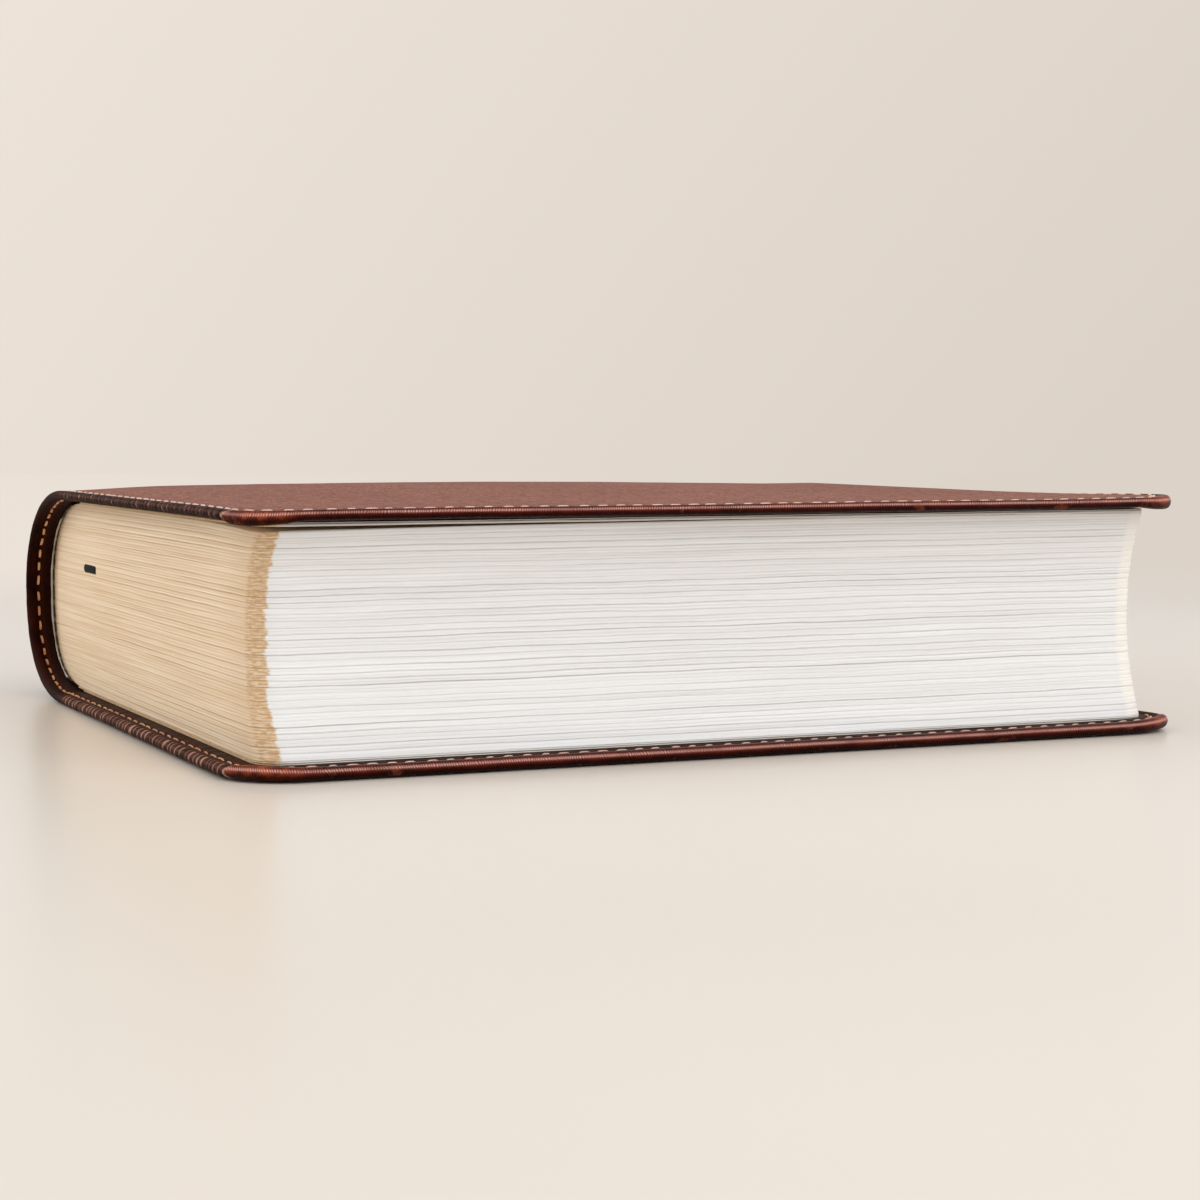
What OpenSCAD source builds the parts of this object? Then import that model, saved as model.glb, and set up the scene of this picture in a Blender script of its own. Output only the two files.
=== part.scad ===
// Thick leather-bound bible, lying closed on its back cover.
// X runs from the spine (-X) to the fore edge (+X), Y from the tail (-Y) to the head (+Y).
// The origin is the middle of the footprint, on the surface that the back cover lies on.

/* [Book] */
// Height of the covers, from tail to head
cover_h = 193; // [150:1:240]
// Width of the closed book, from the back of the spine to the fore edge
book_w = 173.5; // [150:0.5:200]
// Thickness of the closed book
book_t = 46.2; // [38:0.2:60]
// Depth of the rounded spine behind the two hinge lines
spine_depth = 35.4; // [28:0.2:40]
// How square the lower half of the spine is, 2 being a true ellipse
spine_squareness = 2.4; // [2:0.1:3]

/* [Covers] */
// Thickness of a whole cover: leather, board and lining
cover_t = 2.3; // [2.1:0.1:4]
// Corner radius of the covers
cover_r = 12.5; // [8:0.5:20]
// How far the covers stand out past the pages
overhang = 6; // [5:0.5:10]
// Thickness of the outer leather
leather_t = 0.8; // [0.7:0.1:1.2]
// Thickness of the inner leather lining
lining_t = 0.5; // [0.5:0.1:0.8]
// Width of the leather that is turned in around the lining
turn_in = 2; // [1.8:0.1:3]
// Width of the soft strip beside each hinge line, where the cover has no board
joint_w = 9; // [6:0.5:14]

/* [Stitching] */
// Distance from the edge of the cover to the seam
seam_in = 3.3; // [3:0.1:5]
// Stitch pitch along the fore edge, the corners and the spine
pitch_fore = 3.6; // [3:0.1:8]
// Stitch pitch along the head and the tail
pitch_side = 5.2; // [3:0.1:8]
// Width of the sewing thread
thread_w = 0.7; // [0.5:0.1:1]

/* [Pages] */
// Radius of the page corners at the fore edge
page_r = 5.5; // [3:0.5:10]
// Depth of the hollow in the fore edge
fore_hollow = 4.5; // [0:0.5:7]
// Number of sewn sections that the pages are bound in
sections = 36; // [10:1:40]
// Depth of the nick between two sections
nick = 0.25; // [0.1:0.05:0.5]
// Thickness of the first and the last leaf
leaf_t = 0.4; // [0.2:0.1:0.8]
// Thickness of the cloth and paper glued over the spine of the pages
liner_t = 0.9; // [0.8:0.1:2]

/* [Ribbon] */
// Width of the ribbon marker
ribbon_w = 10; // [5:1:14]
// Thickness of the ribbon
ribbon_t = 0.5; // [0.3:0.1:0.8]
// Thickness of the ribbon where it is folded back into the pages
ribbon_fold = 1.8; // [1.4:0.1:2.4]

/* [Hidden] */

// Clearances: across each hinge line, and between a cover and the pages
hinge_gap = 0.3;
page_gap = 0.3;

// Main planes
fore_x = book_w / 2;
edge_y = cover_h / 2;
mid_z = book_t / 2;
hinge_x = spine_depth - book_w / 2;
cover_x0 = hinge_x + hinge_gap / 2;
board_x0 = hinge_x + joint_w;
page_x = fore_x - overhang;
page_y = edge_y - overhang;
inlay_in = cover_t - lining_t;
roll_r = cover_t / 2;

// Pages: half of their thickness, and the height of one section
block_half = mid_z - cover_t - page_gap - leaf_t;
section_h = 2 * block_half / sections;
nick_h = section_h * 0.22;
nick_lap = 0.05;

// Seam: a shallow channel, with the thread lying just under the face of the leather
channel_w = thread_w + 0.5;
channel_d = 0.3;
thread_h = 0.2;
thread_lift = 0.06;
stitch_fill = 0.68;

// Rounded spine
spine_cx = hinge_x - hinge_gap / 2;
spine_a = spine_cx + fore_x;
spine_step = 5;
spine_turn = 180;
block_in = cover_t + liner_t;

// Head and tail bands: their thickness, where they start round the spine, and their ribs of thread
band_t = 0.8;
band_start = 14;
band_ribs = 60;
band_y = 1.3;
band_rib = 0.2;

// Ribbon: distance of its fold and of its glued end from the spine, and its height
ribbon_fold_x = -55.2;
ribbon_glued_x = -79.5;
ribbon_z = mid_z + 6;
ribbon_tuck = 28;

round_fn = 64;
leather_color = [0.42, 0.22, 0.18];
roll_color = [0.35, 0.13, 0.10];
lining_color = [0.27, 0.14, 0.10];
board_color = [0.55, 0.50, 0.44];
thread_color = [0.86, 0.62, 0.42];
page_color = [0.94, 0.92, 0.88];
leaf_color = [0.97, 0.96, 0.94];
liner_color = [0.80, 0.79, 0.76];
band_color = [0.28, 0.26, 0.24];
ribbon_color = [0.20, 0.22, 0.20];

// Point of a flattened half ellipse at a turn of 0 (top) to 180 (bottom)
function spine_power(turn) = turn > 90 ? 2 / spine_squareness : 1;
function spine_point(turn, deep, half) = [
    spine_cx - (spine_a - deep) * pow(abs(sin(turn)), spine_power(turn)),
    mid_z + (turn > 90 ? -1 : 1) * half * pow(abs(cos(turn)), spine_power(turn))
];

// A layer of the cover lies at one depth all the way round, the pages a little deeper at the back
function layer_point(turn, deep) = spine_point(turn, deep, mid_z - deep);
function block_point(turn) = spine_point(turn, block_in, block_half);
function layer_curve(deep, from, to, step) = [for (turn = [from:step:to]) layer_point(turn, deep)];
function block_curve(from, to, step) = [for (turn = [from:step:to]) block_point(turn)];
function reversed(list) = [for (i = [len(list) - 1:-1:0]) list[i]];

// Outline in plan that is square at the spine side and round at the two fore corners
module fore_outline(left, right, half_h, r) {
    translate([left, -half_h]) square([right - r - left, 2 * half_h]);
    translate([left, r - half_h]) square([right - left, 2 * (half_h - r)]);
    for (side = [-1, 1]) {
        translate([right - r, side * (half_h - r)]) circle(r, $fn = round_fn);
    }
}

module cover_outline(inset, left = cover_x0) {
    fore_outline(left, fore_x - inset, edge_y - inset, cover_r - inset);
}

// Half of a flat strip seen end on, with a round edge: the section of a rolled edge
module roll_section(depth) {
    square([depth, cover_t]);
    translate([depth, roll_r]) circle(roll_r, $fn = round_fn);
}

// Cover with its edges rolled all round but at the hinge, outer face down on z = 0
module rolled_plate() {
    strip = cover_r - roll_r;
    side_l = fore_x - cover_r - cover_x0;
    fore_l = 2 * (edge_y - cover_r);
    translate([cover_x0, -fore_l / 2, 0]) cube([side_l, fore_l, cover_t]);
    translate([fore_x - cover_r, fore_l / 2, 0]) rotate([90, 0, 0])
        linear_extrude(fore_l) roll_section(strip);
    for (side = [0, 1]) {
        mirror([0, side, 0]) {
            translate([cover_x0, fore_l / 2, 0]) rotate([90, 0, 90])
                linear_extrude(side_l) roll_section(strip);
            translate([fore_x - cover_r, fore_l / 2, 0])
                rotate_extrude(angle = 90, $fn = round_fn) roll_section(strip);
        }
    }
}

// Channel that the seam lies in, cut downwards from z = 0
module seam_channel() {
    translate([0, 0, -channel_d]) linear_extrude(2 * channel_d) difference() {
        cover_outline(seam_in - channel_w / 2);
        cover_outline(seam_in + channel_w / 2);
    }
}

// One stitch lying along X on z = 0
module stitch(pitch) {
    long = pitch * stitch_fill;
    translate([-long / 2, -thread_w / 2, 0]) cube([long, thread_w, thread_h]);
}

// Row of stitches along X, evenly spread over the length
module stitch_row(length, pitch) {
    count = round(length / pitch);
    for (i = [0:count - 1]) translate([(i + 0.5) * length / count, 0, 0]) stitch(pitch);
}

// Seam round the three open sides of a cover, on z = 0
module seam() {
    corner = cover_r - seam_in;
    side_l = fore_x - cover_r - cover_x0;
    fore_l = 2 * (edge_y - cover_r);
    corner_count = round(corner * PI / 2 / pitch_fore);
    translate([fore_x - seam_in, -fore_l / 2, 0]) rotate(90) stitch_row(fore_l, pitch_fore);
    for (side = [0, 1]) {
        mirror([0, side, 0]) {
            translate([cover_x0, edge_y - seam_in, 0]) stitch_row(side_l, pitch_side);
            translate([fore_x - cover_r, edge_y - cover_r, 0])
                for (i = [0:corner_count - 1]) rotate((i + 0.5) * 90 / corner_count)
                    translate([corner, 0, 0]) rotate(90) stitch(pitch_fore);
        }
    }
}

// A cover's four pieces, outer face down
module cover_leather() {
    color(roll_color) difference() {
        rolled_plate();
        translate([0, 0, leather_t]) linear_extrude(cover_t) cover_outline(turn_in, board_x0);
        translate([0, 0, inlay_in]) linear_extrude(cover_t) cover_outline(turn_in);
        mirror([0, 0, 1]) seam_channel();
    }
}

module cover_board() {
    color(board_color) translate([0, 0, leather_t])
        linear_extrude(inlay_in - leather_t) cover_outline(turn_in, board_x0);
}

module cover_lining() {
    color(lining_color) difference() {
        translate([0, 0, inlay_in]) linear_extrude(lining_t) cover_outline(turn_in);
        translate([0, 0, cover_t]) seam_channel();
    }
}

module cover_stitching() {
    color(thread_color) {
        translate([0, 0, channel_d - thread_h]) seam();
        translate([0, 0, cover_t - channel_d]) seam();
    }
}

// The front cover is the same as the back cover, turned over on top of the pages
module on_top() {
    translate([0, 0, book_t]) mirror([0, 0, 1]) children();
}

module back_leather() { cover_leather(); }
module back_board() { cover_board(); }
module back_lining() { cover_lining(); }
module back_stitching() { cover_stitching(); }
module front_leather() { on_top() cover_leather(); }
module front_board() { on_top() cover_board(); }
module front_lining() { on_top() cover_lining(); }
module front_stitching() { on_top() cover_stitching(); }

// Solid between two depths round the spine, centred on y = 0
module spine_layer(outer, inner, half_h, from = 0) {
    points = concat(
        layer_curve(outer, from, spine_turn - from, spine_step),
        reversed(layer_curve(inner, from, spine_turn - from, spine_step))
    );
    translate([0, half_h, 0]) rotate([90, 0, 0]) linear_extrude(2 * half_h) polygon(points);
}

// Head half of the leather's section at the spine, as [depth, y]: the skin with its seam channel,
// the rolled edge, the turned-in leather and back along the inner face
roll_steps = 8;
channel_near = edge_y - seam_in - channel_w / 2;
channel_far = channel_near + channel_w;
fold_y = edge_y - turn_in;
leather_half = concat(
    [[0, channel_near], [channel_d, channel_near], [channel_d, channel_far], [0, channel_far]],
    [[0, fold_y]],
    [
        for (i = [0:roll_steps]) let (a = 180 * i / roll_steps)
            [roll_r - roll_r * cos(a), edge_y - roll_r + roll_r * sin(a)]
    ],
    [[cover_t, fold_y], [leather_t, fold_y], [leather_t, channel_far], [leather_t, channel_near]]
);
leather_section = concat(leather_half, [for (p = reversed(leather_half)) [p[0], -p[1]]]);

// Convex cells that fill the section, by the number of each point, to close the ends of the sweep
fold_in = 7 + roll_steps;
last = len(leather_section) - 1;
half_cells = [
    concat([fold_in], [for (i = [4:fold_in - 1]) i]),
    [4, fold_in, fold_in + 1, 2, 3],
    [1, 2, fold_in + 1, fold_in + 2]
];
middle_cells = [[0, 1, last - 1, last], [1, fold_in + 2, fold_in + 3, last - 1]];
function turned_over(cell) = [for (i = [0:len(cell) - 1]) cell[(len(cell) - i) % len(cell)]];
section_cells = concat(
    half_cells, middle_cells,
    [for (cell = half_cells) [for (i = turned_over(cell)) last - i]]
);

// Leather of the spine: its section carried round the curve, open to the pages
module spine_leather() {
    n = last + 1;
    stations = spine_turn / spine_step;
    points = [
        for (s = [0:stations]) for (p = leather_section)
            let (q = layer_point(s * spine_step, p[0])) [q[0], p[1], q[1]]
    ];
    walls = [
        for (s = [0:stations - 1]) for (i = [0:last]) let (k = (i + 1) % n)
            [s * n + i, s * n + k, (s + 1) * n + k, (s + 1) * n + i]
    ];
    start_cap = [for (cell = section_cells) turned_over(cell)];
    end_cap = [for (cell = section_cells) [for (i = cell) stations * n + i]];
    color(leather_color) polyhedron(points, concat(walls, start_cap, end_cap), convexity = 8);
}

module spine_inlay() {
    color(board_color) spine_layer(leather_t, inlay_in, edge_y - turn_in);
}

module spine_lining() {
    color(lining_color) difference() {
        spine_layer(inlay_in, cover_t, edge_y - turn_in);
        for (side = [-1, 1]) {
            translate([0, side * (edge_y - seam_in), 0])
                spine_layer(cover_t - channel_d, cover_t + channel_d, channel_w / 2);
        }
    }
}

// Stitches round the spine at one depth, along one edge, just clear of the facets of the channel
module spine_seam(deep) {
    length = PI / 2 * (spine_a + mid_z - 2 * deep);
    count = round(length / pitch_fore);
    half_turn = spine_turn / count * stitch_fill / 2;
    for (i = [0:count - 1]) {
        turn = (i + 0.5) * spine_turn / count;
        points = [
            layer_point(turn - half_turn, deep), layer_point(turn + half_turn, deep),
            layer_point(turn + half_turn, deep + thread_h),
            layer_point(turn - half_turn, deep + thread_h)
        ];
        rotate([90, 0, 0]) linear_extrude(thread_w, center = true) polygon(points);
    }
}

module spine_stitching() {
    color(thread_color) for (side = [-1, 1]) translate([0, side * (edge_y - seam_in), 0]) {
        spine_seam(channel_d - thread_lift - thread_h);
        spine_seam(cover_t - channel_d + thread_lift);
    }
}

// Cloth and paper over the back of the pages, thinning out towards the hinge lines
module spine_liner() {
    from = 2 * spine_step;
    points = concat(
        layer_curve(cover_t, from, spine_turn - from, spine_step),
        reversed(block_curve(from, spine_turn - from, spine_step))
    );
    color(liner_color) translate([0, page_y, 0]) rotate([90, 0, 0])
        linear_extrude(2 * page_y) polygon(points);
}

// Band at one end of the pages: a cord in wrapped thread, whose turns show as ribs
module end_band() {
    step = (spine_turn - 2 * band_start) / (2 * band_ribs);
    outer = block_in - band_t / 2;
    inner = outer + band_t - band_rib;
    ribs = [
        for (i = [0:2 * band_ribs])
            layer_point(band_start + i * step, inner + (i % 2) * band_rib)
    ];
    points = concat(layer_curve(outer, band_start, spine_turn - band_start, 2 * step), reversed(ribs));
    translate([0, page_y + band_y, 0]) rotate([90, 0, 0]) linear_extrude(band_y) polygon(points);
}

module head_band() { color(band_color) end_band(); }
module tail_band() { color(band_color) mirror([0, 1, 0]) end_band(); }

// Pages: sections stacked with nicks between them, each drawn back to hollow the fore edge
function hollow_at(z) = fore_hollow * (1 - pow((z - mid_z) / block_half, 2));

module one_section(i) {
    bottom = mid_z - block_half + i * section_h;
    right = page_x - hollow_at(bottom + section_h / 2);
    solid_h = i == sections - 1 ? section_h : section_h - nick_h;
    translate([0, 0, bottom]) linear_extrude(solid_h)
        fore_outline(-fore_x, right, page_y, page_r);
    if (i < sections - 1) {
        translate([0, 0, bottom + solid_h - nick_lap]) linear_extrude(nick_h + 2 * nick_lap)
            fore_outline(-fore_x, right - nick, page_y - nick, page_r - nick);
    }
}

module page_block() {
    back = concat(block_curve(0, spine_turn, spine_step), [
        [fore_x, mid_z - block_half], [fore_x, mid_z + block_half]
    ]);
    color(page_color) difference() {
        intersection() {
            translate([0, page_y, 0]) rotate([90, 0, 0]) linear_extrude(2 * page_y) polygon(back);
            union() {
                for (i = [0:sections - 1]) one_section(i);
            }
        }
        ribbon();
    }
}

module flyleaf() {
    linear_extrude(leaf_t) fore_outline(spine_cx, page_x, page_y, page_r);
}

module back_flyleaf() {
    color(leaf_color) translate([0, 0, mid_z - block_half - leaf_t]) flyleaf();
}

module front_flyleaf() {
    color(leaf_color) translate([0, 0, mid_z + block_half]) flyleaf();
}

// Ribbon glued at the head of the spine, run down through the pages and folded back at the tail
module ribbon() {
    fold_r = ribbon_fold / 2;
    tuck_y = fold_r - page_y;
    long_leg = [
        [ribbon_fold_x, tuck_y], [ribbon_fold_x + ribbon_w, tuck_y],
        [ribbon_glued_x + ribbon_w, page_y], [ribbon_glued_x, page_y]
    ];
    translate([0, 0, ribbon_z + fold_r - ribbon_t]) linear_extrude(ribbon_t) polygon(long_leg);
    translate([ribbon_fold_x, tuck_y, ribbon_z - fold_r]) cube([ribbon_w, ribbon_tuck, ribbon_t]);
    translate([ribbon_fold_x, tuck_y, ribbon_z]) rotate([0, 90, 0]) difference() {
        cylinder(r = fold_r, h = ribbon_w, $fn = round_fn);
        translate([0, 0, -1]) cylinder(r = fold_r - ribbon_t, h = ribbon_w + 2, $fn = round_fn);
        translate([-fold_r - 1, 0, -1]) cube([ribbon_fold + 2, ribbon_fold, ribbon_w + 2]);
    }
}

module ribbon_marker() { color(ribbon_color) ribbon(); }

page_block();
front_flyleaf();
back_flyleaf();
spine_liner();
head_band();
tail_band();
ribbon_marker();
spine_leather();
spine_inlay();
spine_lining();
spine_stitching();
front_leather();
front_board();
front_lining();
front_stitching();
back_leather();
back_board();
back_lining();
back_stitching();
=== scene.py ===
import math

import bpy
import numpy as np
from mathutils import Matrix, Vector


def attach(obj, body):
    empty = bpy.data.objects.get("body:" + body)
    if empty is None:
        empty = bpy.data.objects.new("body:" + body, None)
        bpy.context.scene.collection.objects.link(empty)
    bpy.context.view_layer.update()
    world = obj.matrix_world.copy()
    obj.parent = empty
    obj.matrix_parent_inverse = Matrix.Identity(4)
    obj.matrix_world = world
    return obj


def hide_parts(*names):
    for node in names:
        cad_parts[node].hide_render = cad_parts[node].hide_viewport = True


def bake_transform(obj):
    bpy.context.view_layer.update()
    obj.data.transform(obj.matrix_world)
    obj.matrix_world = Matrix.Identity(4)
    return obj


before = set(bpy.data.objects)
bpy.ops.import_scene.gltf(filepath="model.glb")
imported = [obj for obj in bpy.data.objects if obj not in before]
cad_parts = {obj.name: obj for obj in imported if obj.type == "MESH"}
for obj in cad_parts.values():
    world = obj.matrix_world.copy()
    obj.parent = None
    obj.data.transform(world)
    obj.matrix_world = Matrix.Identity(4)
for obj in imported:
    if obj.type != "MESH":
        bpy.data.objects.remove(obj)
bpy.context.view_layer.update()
scene = bpy.context.scene

# Lengths below are in millimetres, as in the part's source, and become metres when a mesh is made.
MM = 0.001
COVER_H, BOOK_W, BOOK_T, SPINE_DEPTH, SQUARENESS = 193.0, 173.5, 46.2, 35.4, 2.4
COVER_T, COVER_R, OVERHANG, JOINT_W, HINGE_GAP = 2.3, 12.5, 6.0, 9.0, 0.3
SEAM_IN, THREAD_R, CHANNEL_D, BOARD_IN = 3.3, 0.28, 0.3, 4.6
PITCH_FORE, PITCH_SIDE, STITCH_FILL = 3.6, 5.2, 0.72
RIB_PITCH, PLEAT_PITCH = 0.46, 2.9
PAGE_R, FORE_HOLLOW, SECTIONS, LEAF_T, PAGE_GAP, LINER_T = 5.5, 4.5, 36, 0.4, 0.3, 0.9
RIBBON_W, RIBBON_T, RIBBON_FOLD_R, RIBBON_TUCK = 10.0, 0.5, 1.15, 28.0

FORE_X, EDGE_Y, MID_Z = BOOK_W / 2, COVER_H / 2, BOOK_T / 2
HINGE_X = SPINE_DEPTH - FORE_X
COVER_W = FORE_X - HINGE_X
SPINE_CX = HINGE_X - HINGE_GAP / 2
SPINE_A = SPINE_CX + FORE_X
PAGE_X, PAGE_Y = FORE_X - OVERHANG, EDGE_Y - OVERHANG
BLOCK_HALF = MID_Z - COVER_T - PAGE_GAP - LEAF_T
BLOCK_IN = COVER_T + LINER_T

# The two halves of the jacket: the front one's edge is thinner, and the back one's spine is squarer
FRONT, BACK = 1, -1
NAMES = {FRONT: "front", BACK: "back"}
ROLL = {FRONT: 0.95, BACK: 1.12}
POWER = {FRONT: 1.0, BACK: 2 / SQUARENESS}

# Camera fitted to the photograph's edges and corners, in metres
CAMERA_AT, CAMERA_WAY = (0.50331, -0.21289, 0.06078), (-0.9138, 0.4004, -0.0687)
CAMERA_LENS, CAMERA_SENSOR = 77.97, 36

# Stage, in metres: the floor turns into the background between the two distances
FLOOR_R, FLOOR_ENDS = 2.5, (0.26, 0.62)
WORLD_LIGHT = 0.75


# Camera and lamps


def add_object(name, data):
    made = bpy.data.objects.new(name, data)
    scene.collection.objects.link(made)
    return made


def aim(obj, forward):
    obj.rotation_mode = "QUATERNION"
    obj.rotation_quaternion = Vector(forward).to_track_quat("-Z", "Y")


def add_camera():
    data = bpy.data.cameras.new("camera")
    data.lens, data.sensor_width = CAMERA_LENS, CAMERA_SENSOR
    cam = add_object("camera", data)
    cam.location = CAMERA_AT
    aim(cam, CAMERA_WAY)
    scene.camera = cam


def add_lamp(name, place, size, power, target_z=0.02):
    """Square lamp that points at the middle of the book, at the given height."""
    data = bpy.data.lights.new(name, "AREA")
    data.size, data.energy = size, power
    lamp = add_object(name, data)
    lamp.location = place
    aim(lamp, Vector((0, 0, target_z)) - Vector(place))


# Shader nodes


def srgb(red, green, blue):
    """Linear colour of an sRGB colour given in 0 to 255."""
    def linear(c):
        c /= 255
        return c / 12.92 if c <= 0.04045 else ((c + 0.055) / 1.055) ** 2.4
    return linear(red), linear(green), linear(blue), 1.0


class Shader:
    """Short ways to build the nodes of one material, or of the world."""

    def __init__(self, name, kind=bpy.data.materials):
        self.owner = kind.new(name)
        self.owner.use_nodes = True
        self.tree = self.owner.node_tree
        self.tree.nodes.clear()

    def node(self, kind, inputs=(), **settings):
        made = self.tree.nodes.new("ShaderNode" + kind)
        for key, value in settings.items():
            setattr(made, key, value)
        for key, value in dict(inputs).items():
            if isinstance(value, bpy.types.NodeSocket):
                self.tree.links.new(value, made.inputs[key])
            else:
                made.inputs[key].default_value = value
        return made

    def attribute(self, name, output="Fac"):
        return self.node("Attribute", attribute_name=name).outputs[output]

    def math(self, operation, *values, clamp=False):
        node = self.node("Math", dict(enumerate(values)), operation=operation, use_clamp=clamp)
        return node.outputs[0]

    def times(self, product, *values):
        for value in values:
            product = self.math("MULTIPLY", product, value)
        return product

    def between(self, value, low, high, to=(0.0, 1.0), curve="SMOOTHSTEP"):
        """0 below low and 1 above high, or the two numbers in to, with a smooth way between them."""
        inputs = {0: value, 1: low, 2: high, 3: to[0], 4: to[1]}
        return self.node("MapRange", inputs, interpolation_type=curve).outputs[0]

    def mix(self, factor, a, b):
        return self.node("Mix", {0: factor, 6: a, 7: b}, data_type="RGBA").outputs[2]

    def scaled(self, vector, x, y, z):
        return self.node("Mapping", {"Vector": vector, "Scale": (x, y, z)}).outputs[0]

    def noise(self, vector, scale, detail=3.0, roughness=0.55, output=0):
        inputs = {"Vector": vector, "Scale": scale, "Detail": detail, "Roughness": roughness}
        return self.node("TexNoise", inputs).outputs[output]

    def cells(self, vector, scale):
        """Distance to the edges of irregular cells."""
        inputs = {"Vector": vector, "Scale": scale}
        return self.node("TexVoronoi", inputs, feature="DISTANCE_TO_EDGE").outputs["Distance"]

    def wave(self, phase):
        """A sine between 0 and 1, one turn for each unit of phase."""
        return self.math("MULTIPLY_ADD", self.math("SINE", self.times(phase, 2 * math.pi)), 0.5, 0.5)

    def bump(self, height, depth_mm, below=None):
        inputs = {"Height": height, "Strength": 1.0, "Distance": depth_mm * MM}
        if below is not None:
            inputs["Normal"] = below
        return self.node("Bump", inputs).outputs[0]

    def finish(self, colour, roughness, normal, **inputs):
        sockets = {"Base Color": colour, "Roughness": roughness, "Normal": normal}
        sockets.update({key.replace("_", " "): value for key, value in inputs.items()})
        surface = self.node("BsdfPrincipled", sockets)
        self.node("OutputMaterial", {"Surface": surface.outputs[0]})
        return self.owner


def leather_grain(s, rest, cells, depth_mm):
    """Pebbles with creases between them, fine pores, and the bump of both."""
    shake = s.node("VectorMath", {0: s.noise(rest, 500.0, output=1), "Scale": 0.0006}, operation="SCALE")
    bent = s.node("VectorMath", {0: rest, 1: shake.outputs[0]}, operation="ADD").outputs[0]
    pebble = s.between(s.cells(bent, cells), 0.0, 0.32)
    pores = s.noise(rest, 4200.0, 2.0)
    return pebble, pores, s.bump(pores, depth_mm * 0.6, s.bump(pebble, depth_mm))


def face_leather(name, light, dark, crease, cells=1000.0):
    """Matt leather of the flat faces, with a fine speckled grain and soft changes of tone."""
    s = Shader(name)
    rest, v = s.attribute("rest", "Vector"), s.attribute("edge_v")
    pebble, _, normal = leather_grain(s, rest, cells, 0.06)
    drawn = s.scaled(rest, 0.7, 1.0, 1.0)
    speckle, rubbed = s.noise(drawn, 1700.0, 3.0, 0.7), s.noise(drawn, 900.0, 3.0, 0.65)
    streak = s.noise(drawn, 90.0, 4.0, 0.6)
    tone = s.between(s.noise(rest, 22.0, 4.0), 0.35, 0.7, (0.0, 0.4))
    colour = s.mix(s.between(speckle, 0.38, 0.60), dark, light)
    colour = s.mix(tone, colour, dark)
    colour = s.mix(s.between(rubbed, 0.46, 0.60, (0.0, 0.6)), colour, crease)
    colour = s.mix(s.between(streak, 0.5, 0.75, (0.0, 0.3)), colour, dark)
    colour = s.mix(s.between(pebble, 0.6, 0.0, (0.0, 0.55)), colour, crease)
    # Painted shade round the spine, where the lining lies in the jacket's shadow
    colour = s.mix(s.times(s.attribute("inside"), 0.75), colour, srgb(26, 7, 5))
    # Painted shade in the seam's groove, where the thread pulls the leather in
    seam_groove_shade = s.times(s.between(v, -3.3 * MM, -2.5 * MM), s.between(v, -1.6 * MM, -2.2 * MM))
    colour = s.mix(s.times(seam_groove_shade, 0.75), colour, srgb(52, 20, 14))
    rough = s.between(s.noise(rest, 260.0), 0.3, 0.7, (0.52, 0.64))
    return s.finish(colour, rough, normal, Specular_IOR_Level=0.08, Specular_Tint=srgb(255, 180, 150))


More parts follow.
